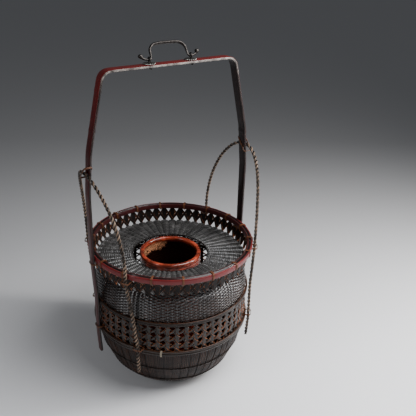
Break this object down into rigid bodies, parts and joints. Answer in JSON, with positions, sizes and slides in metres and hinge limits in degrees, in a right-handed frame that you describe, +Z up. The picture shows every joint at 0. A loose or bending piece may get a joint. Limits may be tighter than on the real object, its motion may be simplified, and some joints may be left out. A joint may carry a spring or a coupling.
{
  "type": "ikebana basket",
  "caption": "Round open-weave flower basket with a flat tray rim, tall hoop handle, twisted side loops, small swinging bail and a lift-out water tube.",
  "frame": {"origin": "centre of the foot ring's underside, on the surface that the basket stands on", "axes": "+Z up, X along the handle bar and the bail's axis, Y across the handle"},
  "size_m": [0.2638, 0.2422, 0.4959],
  "materials": {
    "smoked_bamboo": "smoked bamboo, dark brown, satin",
    "dark_weave": "fine dark woven bamboo, satin",
    "red_lacquer": "bamboo hoop in dark red lacquer",
    "copper_cane": "orange-brown split cane",
    "handle_bamboo": "flat bamboo strip, dark red lacquered skin",
    "twisted_cane": "twisted brown cane",
    "vermilion": "vermilion lacquer, glossy",
    "dark_iron": "dark forged iron, satin"
  },
  "bodies": {
    "basket": {"foot_ring": "smoked_bamboo", "bowl": "smoked_bamboo", "bowl_lacing_lower": "smoked_bamboo", "bowl_lacing_upper": "smoked_bamboo", "lower_hoop_bottom": "smoked_bamboo", "lower_hoop_top": "smoked_bamboo", "lattice_band": "dark_weave", "upper_hoop": "smoked_bamboo", "shoulder": "dark_weave", "neck_ring": "smoked_bamboo", "tray_floor": "dark_weave", "tray_wall": "smoked_bamboo", "rim_outer_hoop": "red_lacquer", "rim_inner_hoop": "smoked_bamboo", "rim_tie_01": "copper_cane", "rim_tie_02": "copper_cane", "rim_tie_03": "copper_cane", "rim_tie_04": "copper_cane", "rim_tie_05": "copper_cane", "rim_tie_06": "copper_cane", "rim_tie_07": "copper_cane", "rim_tie_08": "copper_cane", "rim_tie_09": "copper_cane", "rim_tie_10": "copper_cane", "rim_tie_11": "copper_cane", "rim_tie_12": "copper_cane", "rim_tie_13": "copper_cane", "rim_tie_14": "copper_cane", "rim_tie_15": "copper_cane", "rim_tie_16": "copper_cane", "rim_tie_17": "copper_cane", "rim_tie_18": "copper_cane", "handle_hoop": "handle_bamboo", "side_loop_right": "twisted_cane", "side_loop_left": "twisted_cane", "leg_rim_tie_right": "copper_cane", "leg_rim_tie_left": "copper_cane", "leg_body_tie_right": "copper_cane", "leg_body_tie_left": "copper_cane", "loop_leg_tie_right": "copper_cane", "loop_leg_tie_left": "copper_cane", "loop_rim_tie_right_front": "copper_cane", "loop_rim_tie_right_back": "copper_cane", "loop_rim_tie_left_front": "copper_cane", "loop_rim_tie_left_back": "copper_cane", "loop_body_tie_right_front": "copper_cane", "loop_body_tie_right_back": "copper_cane", "loop_body_tie_left_front": "copper_cane", "loop_body_tie_left_back": "copper_cane", "bail_pin_right": "dark_iron", "bail_pin_left": "dark_iron", "bail_washer_right": "dark_iron", "bail_washer_left": "dark_iron"},
    "bail": {"bail_handle": "dark_iron"},
    "tube": {"water_tube": "vermilion"}
  },
  "joints": [
    {"name": "bail_swing", "type": "hinge", "parent": "basket", "child": "bail", "pos_m": [0, 0, 0.4722], "axis": [1, 0, 0], "range_deg": [-65, 135]},
    {"name": "water_tube_lift", "type": "slide", "parent": "basket", "child": "tube", "axis": [0, 0, 1], "range_m": [0, 0.21]}
  ]
}
